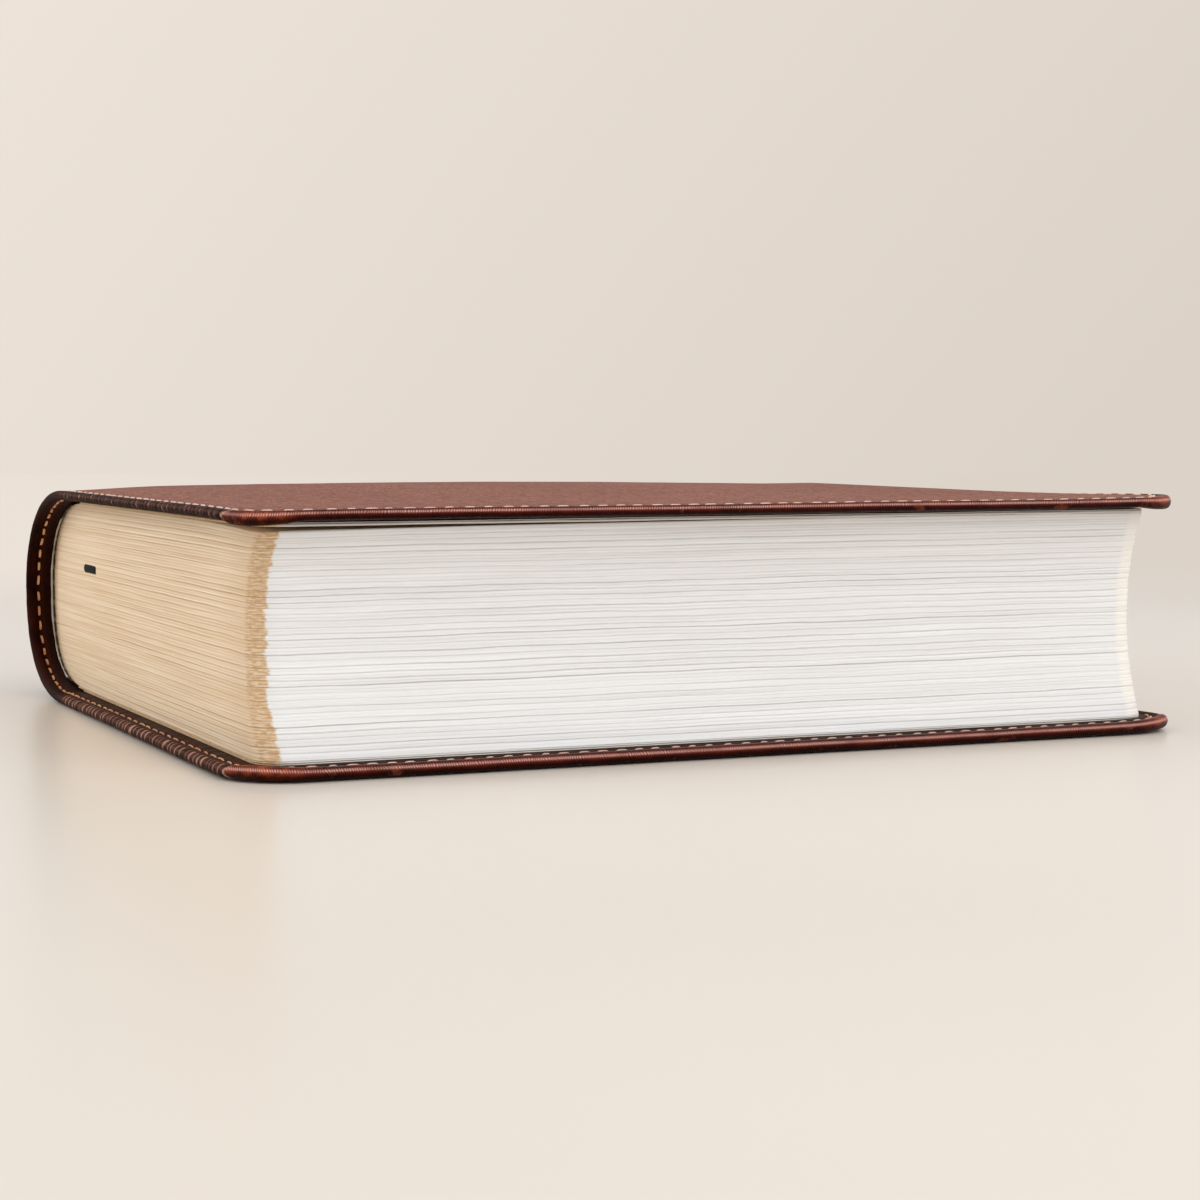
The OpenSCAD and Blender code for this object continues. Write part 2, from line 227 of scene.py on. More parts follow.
def edge_leather():
    """Leather of the rolled edges, its gloss mostly a painted highlight: ribbed at the fore edge, dull and
    pleated at head and tail.
    """
    s = Shader("edge_leather")
    rest = s.attribute("rest", "Vector")
    u, v = s.attribute("edge_u"), s.attribute("edge_v")
    side, valley, lap = s.attribute("side"), s.attribute("valley"), s.attribute("lap")
    crown, corner, below = s.attribute("crown"), s.attribute("corner"), s.attribute("below")
    inside, black = s.attribute("inside"), srgb(20, 8, 6)
    pores, normal = leather_grain(s, rest, 1500.0, 0.03)[1:]
    slant = s.math("ADD", s.math("DIVIDE", u, RIB_PITCH * MM), s.times(v, 700.0))
    ribs = s.wave(s.math("ADD", slant, s.times(s.noise(rest, 500.0, 1.0), 2.2)))
    plain = s.math("SUBTRACT", 1.0, side)
    patchy = s.between(s.noise(rest, 130.0), 0.30, 0.55, (0.55, 1.0))
    cloud = s.noise(rest, 170.0, 4.0, 0.65)
    clouded = s.between(cloud, 0.35, 0.7)

    # Fore edge and corners: dark red, orange at the corners, with a painted highlight along the ribs near the
    # top of the roll
    colour = s.mix(clouded, srgb(84, 26, 17), srgb(46, 12, 8))
    orange = s.times(corner, s.between(s.noise(rest, 420.0, 4.0, 0.7), 0.38, 0.64, (0.1, 0.95)))
    colour = s.mix(orange, colour, srgb(150, 66, 35))
    # Painted shade on the underside of the roll
    colour = s.mix(s.times(below, 0.85), colour, srgb(15, 4, 3))
    bare = s.between(cloud, 0.60, 0.70, (0.0, 0.5))
    colour = s.mix(s.times(bare, plain), colour, srgb(132, 66, 44))
    # Painted highlight in the band near the top of the roll, broken by the ribs
    glint = s.times(s.math("MULTIPLY_ADD", ribs, 0.75, 0.25), s.times(crown, patchy))
    colour = s.mix(s.times(glint, 0.95), colour, srgb(246, 182, 168))

    # Head and tail: dull brown, with a painted highlight on the crests of the pleats and painted shade in
    # their valleys
    dull = s.mix(s.between(pores, 0.4, 0.6), srgb(80, 45, 35), srgb(50, 25, 19))
    crest = s.times(s.between(valley, 0.08, 0.0), s.attribute("rolled"), 0.9)
    dull = s.mix(crest, dull, srgb(188, 142, 122))
    dull = s.mix(s.between(valley, 0.25, 0.7, (0.0, 0.95)), dull, black)
    # Painted shade round the spine, on the roll and the turned-in leather there
    spine_roll_shade = s.mix(clouded, srgb(50, 18, 11), srgb(28, 9, 6))
    dull = s.mix(s.between(inside, 0.0, 0.8), dull, spine_roll_shade)
    # Painted shade on the underside of the roll
    dull = s.mix(s.times(below, 0.6), dull, black)
    # Paler band along the top of the roll, speckled by the pores: partly wear, partly painted highlight
    worn = s.times(s.between(crown, 0.02, 0.4), s.between(pores, 0.40, 0.62))
    worn = s.times(worn, s.math("SUBTRACT", 1.0, inside), 0.3)
    dull = s.mix(worn, dull, srgb(150, 108, 90))

    colour = s.mix(side, colour, dull)
    colour = s.mix(s.times(lap, 0.85), colour, srgb(214, 170, 146))
    normal = s.bump(s.times(ribs, plain, patchy), 0.09, normal)
    rough = s.between(side, 0.0, 1.0, (0.3, 0.62))
    return s.finish(colour, rough, normal, Specular_IOR_Level=0.05, Specular_Tint=srgb(255, 160, 135))


def thread_material():
    """Twisted thread: orange on the inside, paler on the outside and along the fore edge, partly from wear
    and partly as a painted highlight.
    """
    s = Shader("seam_thread")
    along, around, worn = s.attribute("along"), s.attribute("around"), s.attribute("worn")
    strands = s.wave(s.math("ADD", s.math("DIVIDE", along, 0.55 * MM), s.times(around, 2.0)))
    rest = s.attribute("rest", "Vector")
    tone = s.between(s.noise(rest, 90.0, 1.0), 0.35, 0.65)
    # Paler colour: partly wear, partly painted highlight
    light = s.mix(worn, srgb(255, 196, 134), srgb(250, 218, 198))
    shade = s.mix(worn, srgb(240, 158, 102), srgb(236, 194, 170))
    colour = s.mix(tone, light, shade)
    # Painted shade in the grooves between the strands
    colour = s.mix(s.times(s.between(strands, 0.45, 0.0), 0.45), colour, shade)
    fuzz = s.noise(rest, 6000.0, 2.0)
    normal = s.bump(fuzz, 0.02, s.bump(strands, 0.06))
    return s.finish(colour, 0.62, normal, Sheen_Weight=0.2)


def page_material():
    """Page edges: white at the fore edge, toned at head and tail, with fine lines between leaves, painted
    shade in the gaps between sections and a painted highlight beside them.
    """
    s = Shader("page_edges")
    rest = s.attribute("rest", "Vector")
    leaf, u, line = s.attribute("leaf"), s.attribute("edge_u"), s.attribute("line")
    tone, head, spine = s.attribute("tone"), s.attribute("head"), s.attribute("spine")

    def layers(along, across, detail=2.0):
        """Noise drawn out along the leaves."""
        place = s.node("CombineXYZ", {"X": s.times(u, along), "Y": s.times(leaf, across)})
        return s.noise(place.outputs[0], 1.0, detail, 0.6)

    fine, broad = layers(14.0, 11.0), layers(9.0, 1.1, 3.0)
    # Painted shade in the gaps between sections, and a painted highlight on the leaves beside them
    seen = s.times(line, s.between(layers(16.0, 3.0), 0.34, 0.60, (0.3, 1.0)))
    leaves, lit = s.between(fine, 0.48, 0.32), s.between(line, -0.1, -0.7)

    # Fore edge
    white = s.mix(s.between(broad, 0.38, 0.62), srgb(248, 249, 250), srgb(239, 239, 239))
    white = s.mix(s.times(leaves, 0.4), white, srgb(216, 211, 209))
    white = s.mix(s.times(seen, 0.8), white, srgb(186, 177, 174))
    white = s.mix(s.times(lit, 0.5), white, srgb(255, 255, 255))
    white = s.mix(s.between(head, 0.0, 1.5, (0.0, 0.85)), white, srgb(250, 246, 239))

    # Head and tail
    cream = s.mix(s.between(broad, 0.36, 0.66), srgb(244, 222, 192), srgb(230, 202, 166))
    cream = s.mix(s.times(leaves, 0.5), cream, srgb(208, 176, 136))
    cream = s.mix(s.between(layers(18.0, 7.0), 0.54, 0.68, (0.0, 0.75)), cream, srgb(255, 240, 216))
    plain = s.between(spine, 0.10, 0.55, (0.2, 0.85))
    # Painted shade and highlight of the sections, fainter towards the spine
    cream = s.mix(s.times(seen, plain), cream, srgb(172, 128, 86))
    cream = s.mix(s.times(lit, plain, 0.85), cream, srgb(255, 242, 218))
    cream = s.mix(s.between(spine, 0.035, 0.0, (0.0, 0.75)), cream, srgb(190, 150, 104))

    # The tone ends in a ragged and mottled band at the corner
    shift = s.noise(s.scaled(rest, 1.0, 1.0, 1.6), 700.0, 3.0, 0.7)
    ragged = s.math("ADD", tone, s.math("MULTIPLY_ADD", shift, 1.6, -0.8))
    toned = s.between(ragged, -0.35, 0.35)
    band = s.times(toned, s.between(ragged, 5.2, 3.4))
    mottle = s.between(layers(500.0, 3.6, 3.0), 0.42, 0.58, (0.0, 0.8))
    nearby = s.times(toned, s.between(tone, 26.0, 4.0, (0.0, 0.26)))
    cream = s.mix(nearby, cream, srgb(204, 168, 128))
    colour = s.mix(toned, white, cream)
    colour = s.mix(s.times(band, mottle), colour, srgb(198, 158, 112))
    paper = s.noise(s.scaled(rest, 0.25, 0.25, 1.0), 5200.0, 3.0, 0.7)
    return s.finish(colour, 0.78, s.bump(paper, 0.03, s.bump(fine, 0.07)), Specular_IOR_Level=0.25)


def paper_material():
    """White paper of the loose leaves, toned at head and tail like the block."""
    s = Shader("leaf_paper")
    rest, edge = s.attribute("rest", "Vector"), s.attribute("edge_tone")
    cloud = s.noise(rest, 60.0, 4.0)
    fibre = s.noise(s.scaled(rest, 1.0, 0.25, 1.0), 2600.0, 3.0, 0.7)
    colour = s.mix(s.between(cloud, 0.35, 0.7), srgb(237, 233, 227), srgb(233, 229, 222))
    colour = s.mix(s.times(s.between(fibre, 0.55, 0.75), 0.3), colour, srgb(222, 214, 202))
    tan = s.mix(s.between(fibre, 0.4, 0.65), srgb(226, 196, 156), srgb(196, 158, 112))
    colour = s.mix(edge, colour, tan)
    return s.finish(colour, 0.8, s.bump(fibre, 0.03), Specular_IOR_Level=0.25)


def card_material():
    """Grey-brown board."""
    s = Shader("grey_card")
    rest = s.node("TexCoord").outputs["Object"]
    fibre = s.noise(rest, 1800.0, 4.0, 0.7)
    colour = s.mix(s.between(fibre, 0.35, 0.7), srgb(150, 139, 124), srgb(118, 106, 92))
    return s.finish(colour, 0.9, s.bump(fibre, 0.05))


def cloth_material(name, light, dark, pitch_mm):
    """Plain weave over and under at the given pitch, along the piece's own two directions."""
    s = Shader(name)
    u, v = s.attribute("edge_u"), s.attribute("edge_v")
    warp = s.wave(s.math("DIVIDE", u, pitch_mm * MM))
    weft = s.wave(s.math("DIVIDE", v, pitch_mm * MM))
    weave = s.math("ABSOLUTE", s.math("SUBTRACT", warp, weft))
    rest = s.attribute("rest", "Vector")
    soil = s.noise(rest, 120.0, 4.0)
    colour = s.mix(s.between(weave, 0.2, 0.9), dark, light)
    colour = s.mix(s.times(s.between(soil, 0.5, 0.75), 0.4), colour, dark)
    return s.finish(colour, 0.85, s.bump(weave, 0.08), Specular_IOR_Level=0.2)


def band_material():
    """Thread wrapped round the end bands, in nearly black turns with a paler one between."""
    s = Shader("band_thread")
    u, v = s.attribute("edge_u"), s.attribute("edge_v")
    dark = s.between(s.math("FRACT", s.times(u, 0.25)), 0.22, 0.28)
    strands = s.wave(s.math("ADD", s.times(u, 5.0), s.math("DIVIDE", v, 2.4 * MM)))
    colour = s.mix(dark, srgb(112, 96, 80), srgb(26, 20, 19))
    # Painted shade in the grooves between the strands
    colour = s.mix(s.times(s.between(strands, 0.4, 0.0), 0.35), colour, srgb(40, 32, 28))
    return s.finish(colour, 0.6, s.bump(strands, 0.04), Sheen_Weight=0.1)


PALE, DIM = srgb(237, 227, 217), srgb(220, 210, 200)


def backdrop(s, way):
    """Colour of the background towards a direction: paler at the left and above, dimmer at the right, as
    painted light falling off across the backdrop.
    """
    x, y, z = s.node("SeparateXYZ", {0: way}).outputs
    across = s.between(y, 0.12, 0.62, curve="LINEAR")
    above = s.between(z, -0.02, 0.2, (0.12, -0.18), "LINEAR")
    near = s.between(x, 0.3, 0.95, (0.0, 0.16), "LINEAR")
    share = s.math("ADD", across, s.math("ADD", above, near), clamp=True)
    return s.mix(share, PALE, DIM)


def floor_material():
    """Pale smooth floor that turns into the background with distance, for the camera's rays."""
    s = Shader("floor")
    place = s.node("TexCoord").outputs["Object"]
    away = s.node("VectorMath", {0: place}, operation="LENGTH").outputs["Value"]
    way = s.node("VectorMath", {0: place}, operation="NORMALIZE").outputs[0]
    tone = s.noise(place, 3.0, 2.0)
    colour = s.mix(s.between(tone, 0.3, 0.7), srgb(230, 220, 209), srgb(226, 217, 206))
    ground = s.node("BsdfPrincipled", {"Base Color": colour, "Roughness": 0.3, "Specular IOR Level": 0.35})
    sky = s.node("Emission", {"Color": backdrop(s, way), "Strength": 1.0})
    rays = s.node("LightPath")
    seen = s.math("MAXIMUM", rays.outputs["Is Camera Ray"], rays.outputs["Is Glossy Ray"])
    fade = s.times(s.between(away, *FLOOR_ENDS), seen)
    mixed = s.node("MixShader", {0: fade, 1: ground.outputs[0], 2: sky.outputs[0]})
    s.node("OutputMaterial", {"Surface": mixed.outputs[0]})
    return s.owner


def add_world():
    """Even light from all round, with the backdrop only for the camera's rays."""
    s = Shader("studio", bpy.data.worlds)
    scene.world = s.owner
    light = s.node("Background", {"Color": (1.0, 0.985, 0.97, 1), "Strength": WORLD_LIGHT})
    way = s.node("TexCoord").outputs["Generated"]
    seen = s.node("Background", {"Color": backdrop(s, way)})
    rays = s.node("LightPath")
    mixed = s.node("MixShader", {0: rays.outputs["Is Camera Ray"], 1: light.outputs[0], 2: seen.outputs[0]})
    s.node("OutputWorld", {"Surface": mixed.outputs[0]})


# Mesh helpers


def add_piece(name, points, faces, material, flip=False, **attributes):
    """Smooth mesh from points in millimetres. Every point keeps its place at rest for the patterns."""
    mesh = bpy.data.meshes.new(name)
    places = np.asarray(points, dtype=float) * MM
    mesh.from_pydata(places.tolist(), [], [f[::-1] for f in faces] if flip else faces)
    attributes["rest"] = places
    for key, values in attributes.items():
        values = np.asarray(values, dtype=np.float32)
        kind, field = ("FLOAT_VECTOR", "vector") if values.ndim == 2 else ("FLOAT", "value")
        mesh.attributes.new(key, kind, "POINT").data.foreach_set(field, values.ravel())
    mesh.polygons.foreach_set("use_smooth", np.ones(len(mesh.polygons), dtype=bool))
    mesh.materials.append(material)
    mesh.update()
    return add_object(name, mesh)


def knots(start, end, step):
    """Even steps of about the given length."""
    return np.linspace(start, end, max(1, round((end - start) / step)) + 1)


def refined(values, times):
    """The knots with each interval cut into the same number of parts."""
    index = np.arange((len(values) - 1) * times + 1) / times
    return np.interp(index, np.arange(len(values)), values)


def smooth(value, low, high):
    t = np.clip((value - low) / (high - low), 0, 1)
    return t * t * (3 - 2 * t)


def bell(value, middle, width):
    return np.exp(-((value - middle) / width) ** 2)


def drift(u, seed, wavelength):
    """Smooth irregular curve between about -1 and 1, the same on every run."""
    rng = np.random.default_rng(seed)
    total = np.zeros_like(np.asarray(u, dtype=float))
    for octave in range(4):
        turn = rng.uniform(0, 2 * math.pi)
        length = wavelength * rng.uniform(0.7, 1.4) / 1.8 ** octave
        total += np.sin(u * 2 * math.pi / length + turn) / 1.6 ** octave
    return total / 2.2


def closed(outer, inner, faces):
    """Points and faces of a sheet with two sides, its open edges joined."""
    count = len(outer)
    edges = [edge for face in faces for edge in zip(face, face[1:] + face[:1])]
    known = set(edges)
    sides = [(b, a, a + count, b + count) for a, b in edges if (b, a) not in known]
    under = [tuple(i + count for i in face[::-1]) for face in faces]
    return np.concatenate([outer, inner]), list(faces) + under + sides


def sleeve(ring, count):
    """Faces round a tube made of a ring of lines, each with count points."""
    return [
        ((j + 1) % ring * count + i, (j + 1) % ring * count + i + 1, j * count + i + 1, j * count + i)
        for j in range(ring) for i in range(count - 1)
    ]


class Plate:
    """Grid and rings of a flat plate that is square at the spine side and round at its two fore corners."""

    def __init__(self, side, fore, corner_r, corner_columns):
        self.side, self.fore, self.corner_r = side, fore, corner_r
        self.turn = np.linspace(0, math.pi / 2, corner_columns + 1)

    def columns(self, times):
        """Columns round the three open sides: middle of turning, way outwards, distance along the edge."""
        side, fore, turn = (refined(k, times) for k in (self.side, self.fore, self.turn))
        ends = len(side) + len(turn) - 1, len(side) + len(turn) - 2
        s = np.concatenate([side, np.full(2 * len(turn) + len(fore) - 3, side[-1]), side[-2::-1]])
        y = np.concatenate([np.full(ends[0], fore[0]), fore[1:], np.full(ends[1], fore[-1])])
        way = np.concatenate([
            np.full(len(side), -math.pi / 2), turn[1:] - math.pi / 2, np.zeros(len(fore) - 1),
            turn[1:], np.full(len(side) - 1, math.pi / 2),
        ])
        steps = np.hypot(np.diff(s), np.diff(y)) + self.corner_r * np.diff(way)
        return s, y, way, np.concatenate([[0], np.cumsum(steps)])

    def fore_from(self):
        """Distance along the edge at which the fore edge begins."""
        return self.columns(1)[3][len(self.side) + len(self.turn) - 2]

    def build(self, rings):
        """Points and faces, from the inner grid out through the rings, each given as (columns, inset)."""
        side, fore = self.side, self.fore
        grid = np.arange(len(side) * len(fore)).reshape(len(side), len(fore))
        parts = [(
            np.repeat(side, len(fore)), np.tile(fore, len(side)), np.zeros(grid.size),
            np.repeat(side - side[0], len(fore)), np.full(grid.size, self.corner_r), np.zeros(grid.size, int),
        )]
        faces = [
            (grid[i, j], grid[i + 1, j], grid[i + 1, j + 1], grid[i, j + 1])
            for i in range(len(side) - 1) for j in range(len(fore) - 1)
        ]
        last = np.concatenate([
            grid[:, 0], np.full(len(self.turn) - 1, grid[-1, 0]), grid[-1, 1:],
            np.full(len(self.turn) - 1, grid[-1, -1]), grid[-2::-1, -1],
        ])
        last_times, count = 1, grid.size
        for number, (times, inset) in enumerate(rings, 1):
            s, y, way, u = self.columns(times)
            ids = np.arange(count, count + len(s))
            count += len(s)
            parts.append((s, y, way, u, np.full(len(s), inset), np.full(len(s), number)))
            ratio = times // last_times
            for k in range(len(last) - 1):
                outer = [ids[k * ratio + j] for j in range(ratio + 1)]
                face = [last[k], *outer, last[k + 1]]
                faces.append(face[:-1] if face[0] == face[-1] else face)
            last, last_times = ids, times
        faces = [tuple(int(i) for i in f) for f in faces]
        return [np.concatenate(p) for p in zip(*parts)], faces


# Leather jacket


def arc_table(half):
    """Arc length round one half of the spine and the turn reached there."""
    turn = np.linspace(0, math.pi / 2, 6001)
    x, z = SPINE_A * np.sin(turn) ** POWER[half], MID_Z * np.maximum(np.cos(turn), 0) ** POWER[half]
    return np.concatenate([[0], np.cumsum(np.hypot(np.diff(x), np.diff(z)))]), turn


ARC = {half: arc_table(half) for half in (FRONT, BACK)}


def cover_lift(half, s, y):
    """How far a cover stands off its plane, outwards.

    The front one is domed along the spine and droops at its near corner. The back one's edges curl up.
    """
    near_corner, head_corner = np.hypot(s - COVER_W, y + EDGE_Y), np.hypot(s - COVER_W, y - EDGE_Y)
    waves = 0.04 * drift(y + 0.4 * s, 11 + half, 60.0)
    if half == FRONT:
        ridge = 0.8 - ((y + 25) / 95) ** 2 - 0.6 * smooth(-y, 70, EDGE_Y)  # along the spine
        fore = 0.15 * np.abs(y) / EDGE_Y - 0.28  # along the fore edge
        by_spine = 1 - smooth(s, 10, 115)
        lift = by_spine * ridge + (1 - by_spine) * fore + waves
        lift = np.maximum(lift, -0.28 - 0.3 * smooth(y, 86, EDGE_Y)) - 0.1 * bell(y, 60, 22)
        head_edge = smooth(y, 86, 95) * (0.6 * smooth(s, 90, 132) - 0.33)
        return (lift + head_edge - 0.22 * bell(near_corner, 0, 13)) * smooth(s, -34, -2)
    curl = 0.22 * smooth(s, COVER_W - 9, COVER_W) + 0.2 * smooth(np.abs(y), 88, EDGE_Y)
    corners = 0.2 * bell(near_corner, 0, 15) + 0.4 * bell(head_corner, 0, 17)
    return -(curl + corners + 0.04 + waves) * smooth(s, 5, 40)


def jacket_point(half, s, y, d):
    """Place of points by their distance from the hinge line, height y and depth under the outer face."""
    lengths, turns = ARC[half]
    turn = np.interp(np.clip(-s - HINGE_GAP / 2, 0, None), lengths, turns)
    around = SPINE_CX - (SPINE_A - d) * np.sin(turn) ** POWER[half]
    x = np.where(s > -HINGE_GAP / 2, HINGE_X + s, around)
    z = (MID_Z - d) * np.maximum(np.cos(turn), 0) ** POWER[half] + cover_lift(half, s, y)
    return np.stack([x, y, MID_Z + half * z], axis=1)


def jacket_plate(half):
    """Plate from the middle of the spine to the fore edge, finer where it bends at the hinge."""
    arc = ARC[half][0][-1] + HINGE_GAP / 2
    far = COVER_W - COVER_R
    side = np.concatenate([
        [-arc], knots(0.5 - arc, 0, 1.6), knots(0, JOINT_W, 0.6)[1:], knots(JOINT_W, far, 1.6)[1:],
    ])
    reach = EDGE_Y - COVER_R
    return Plate(side, knots(-reach, reach, 2.2), COVER_R, 9)


PLATES = {half: jacket_plate(half) for half in (FRONT, BACK)}
# Distances along the edge: its whole length, round the spine to the hinge, and on to the corner
TOTAL = {half: plate.columns(4)[3][-1] for half, plate in PLATES.items()}
TO_HINGE = {half: -plate.side[0] for half, plate in PLATES.items()}
TO_CORNER = {half: plate.side[-1] - plate.side[0] for half, plate in PLATES.items()}


def from_spine(half, u):
    """Distance along the edge from the middle of the spine, at the head or the tail."""
    return np.minimum(u, TOTAL[half] - u)


def stitch_places(half):
    """Middle and half length of each stitch, as distances along the edge of the jacket."""
    total, hinge, corner = TOTAL[half], TO_HINGE[half], TO_CORNER[half]
    arc, stretch_there = COVER_R * math.pi / 2, COVER_R / (COVER_R - SEAM_IN)
    places = []

    def row(start, end, pitch, stretch=1.0):
        count = round((end - start) / stretch / pitch)
        step = (end - start) / count
        places.extend((start + (i + 0.5) * step, step * STITCH_FILL / 2) for i in range(count))

    row(0, hinge, PITCH_FORE)
    row(hinge, corner, PITCH_SIDE)
    row(corner, corner + arc, PITCH_FORE, stretch_there)
    row(corner + arc, total - corner - arc, PITCH_FORE)
    row(total - corner - arc, total - corner, PITCH_FORE, stretch_there)
    row(total - corner, total - hinge, PITCH_SIDE)
    row(total - hinge, total, PITCH_FORE)
    middle, reach = np.array(places).T
    rng = np.random.default_rng(30 + half)
    uneven = np.where(from_spine(half, middle) < hinge, 0.25, 1.0)
    reach = reach * (1 + uneven * rng.uniform(-0.28, 0.16, len(reach)))
    return np.stack([middle + uneven * rng.uniform(-0.35, 0.35, len(middle)), reach], axis=1)


STITCHES = {half: stitch_places(half) for half in (FRONT, BACK)}


def holes(half, u):
    """1 between two stitches, where the thread pulls the leather down, and 0 at a stitch's middle."""
    middles = STITCHES[half][:, 0]
    return 0.5 - 0.5 * np.cos(2 * math.pi * np.interp(u, middles, np.arange(len(middles))))


def seam_in(half, u):
    """Inset of the seam from the edge, a little less round the spine."""
    return SEAM_IN - 0.55 * smooth(TO_HINGE[half] - from_spine(half, u), 2, 14)


def seam_depth(half, u, inset):
    """Depth of the seam's groove and of the puckers round its holes."""
    off = inset - seam_in(half, u)
    groove = CHANNEL_D * np.clip(1 - (off / 0.62) ** 2, 0, 1) ** 0.7
    around = 0.05 * bell(off, 0, 1.3)
    pucker = 0.12 * holes(half, u) * bell(off, -0.2, 1.1)
    return groove + around + pucker


def behind_lap(half, u, theta):
    """Distance past the curved end of the corner's leather, which laps over the head and tail rolls."""
    reach = COVER_R * np.radians(15 + 12 * (1 - np.sin(theta)))
    return TO_CORNER[half] + reach - from_spine(half, u)


def pleats(half, u, theta):
    """1 in the valleys between the pleats of the head and tail rolls, 0 on their crests."""
    uneven = 0.5 * drift(u, 5 + half, 31.0) + 0.22 * drift(u, 15 + half, 7.0)
    phase = u / PLEAT_PITCH + uneven + 0.14 * np.cos(theta)
    width = 0.65 if half == FRONT else 1.2
    deep = (0.5 + 0.5 * np.cos(2 * math.pi * phase)) ** width * (0.75 + 0.25 * drift(u, 8 + half, 13.0))
    strength = 1.0 if half == FRONT else 0.62
    here = smooth(from_spine(half, u), TO_HINGE[half] - 3, TO_HINGE[half] + 6)  # not round the spine
    return strength * deep * here + 0.2 * (1 - here)


def edge_place(s0, y0, way, inset):
    """Place of points at an inset from the edge, by the middle of turning and the way outwards."""
    reach = COVER_R - inset
    return s0 + reach * np.cos(way), y0 + reach * np.sin(way)


def pared(half, s, inset):
    """How much thinner the cover has become towards its edge, and round the spine."""
    at_edge = (COVER_T - 2 * ROLL[half]) * smooth(-inset, -8, -3)
    return np.maximum(at_edge, 0.4 * smooth(-s, 0, 8))


# Rings of the jacket and of its lining by how finely they are cut and their inset, closest at the seam
FACE_RINGS = [(1, 10.5), (1, 8.5), (2, 7.0), (2, 5.9)]
FACE_RINGS += [(4, i) for i in (5.1, 4.5, 4.1, 3.85, 3.65, 3.48, 3.3, 3.12, 2.95, 2.7, 2.4, 2.0, 1.6, 1.3)]
MARGIN_RINGS = [(4, 1.35), (4, 1.85), (4, 2.05)]
LINING_RINGS = [(1, 10.0), (1, 7.5), (2, 6.0)]
LINING_RINGS += [(4, i) for i in (4.7, 4.1, 3.8, 3.6, 3.45, 3.3, 3.15, 3.0, 2.8, 2.5, 2.2, 1.92, 1.9)]
ROLL_FROM = 2.8  # the inset at which the edge's leather begins to look rolled


def leather_skin(half, face, edge):
    """Outer leather of one half of the jacket: face, seam groove, rolled edge and turned-in margin."""
    r = ROLL[half]
    theta = np.linspace(0, math.pi, 15)
    rings = FACE_RINGS + [(4, r)] * len(theta) + MARGIN_RINGS
    (s0, y0, way, u, inset, ring), faces = PLATES[half].build(rings)
    first = len(FACE_RINGS) + 1
    last = first + len(theta) - 1
    angle = np.concatenate([np.zeros(first), theta, np.full(len(MARGIN_RINGS), math.pi)])[ring]
    rolled = (ring >= first) & (ring <= last)
    past = behind_lap(half, u, angle)
    side = smooth(past, -0.25, 0.25)
    valley = pleats(half, u, angle) * side
    drawn_in = side * (0.04 + 0.2 * valley) + 0.03 * (1 + drift(u, 3 + half, 9.0))
    radius = r - np.where(rolled, np.sin(angle) ** 0.8 * drawn_in, 0)
    swell = 1 + (0.36 if half == FRONT else 0.12) * np.abs(np.sin(2 * way)) * (1 - side)
    inset = np.where(rolled, r - radius * np.sin(angle), inset)
    depth = np.where(ring >= first, (r - radius * np.cos(angle)) * swell, 0)
    on_face = (ring < first) & (ring > 0)
    depth = depth + np.where(ring < first, seam_depth(half, u, inset), 0)
    depth = depth + np.where(on_face, 0.07 * bell(inset, 1.9, 0.6) * holes(half, u), 0)
    depth = np.where(ring == last + len(MARGIN_RINGS), 2 * r - 0.35, depth)
    s, y = edge_place(s0, y0, way, inset)
    v = np.where(ring < first, r - inset, r * angle)
    v = np.where(ring > last, math.pi * r + inset - r, v)
    from_top = angle if half == FRONT else math.pi - angle
    # Band near the top of the roll that takes the painted highlight
    crown = bell(from_top, math.radians(60), math.radians(12)) * rolled
    # Underside of the roll, which takes painted shade
    below = smooth(from_top, math.radians(78), math.radians(120)) * rolled
    # Top of the spine's roll, which faces the light and takes less of the painted shade
    shoulder = (half == FRONT) * bell(s, -13, 11) * bell(from_top, math.radians(35), math.radians(38))
    off_grid = ring > 0
    piece = add_piece(
        NAMES[half] + "_jacket", jacket_point(half, s, y, depth), faces, face, half == BACK,
        edge_u=u * MM, edge_v=v * MM, side=side * off_grid, valley=valley * off_grid,
        lap=bell(past, 0, 0.28) * smooth(ring, first, first + 2), crown=crown, below=below,
        corner=np.abs(np.sin(2 * way)) ** 0.6 * (1 - side) * off_grid,
        # inside: painted shade round the spine, less on the shoulder
        inside=smooth(-s, -6, 4) * (ring >= first) * (1 - 0.8 * shoulder), rolled=rolled,
    )
    piece.data.materials.append(edge)
    first_roll = next(i for i, (_, inset_at) in enumerate(FACE_RINGS) if inset_at < ROLL_FROM)
    face_ring = ring[[f[1] for f in faces]]
    piece.data.polygons.foreach_set("material_index", (face_ring > first_roll).astype(np.int32))
    return piece


def lining_skin(half, material):
    """Lining of one half, with its own seam groove, pressed against the turned-in leather."""
    (s0, y0, way, u, inset, ring), faces = PLATES[half].build(LINING_RINGS)
    s, y = edge_place(s0, y0, way, inset)
    depth = COVER_T - pared(half, s, inset) - np.where(ring > 0, seam_depth(half, u, inset), 0)
    depth = depth - np.where(inset < 2.1, 0.08, 0) - np.where(inset < 1.91, 0.3, 0)
    # inside: painted shade over the lining round the spine
    return add_piece(
        NAMES[half] + "_inner_leather", jacket_point(half, s, y, depth), faces, material, half == FRONT,
        edge_u=u * MM, edge_v=(0.95 - inset) * MM, inside=smooth(-s, -4, 8),
    )


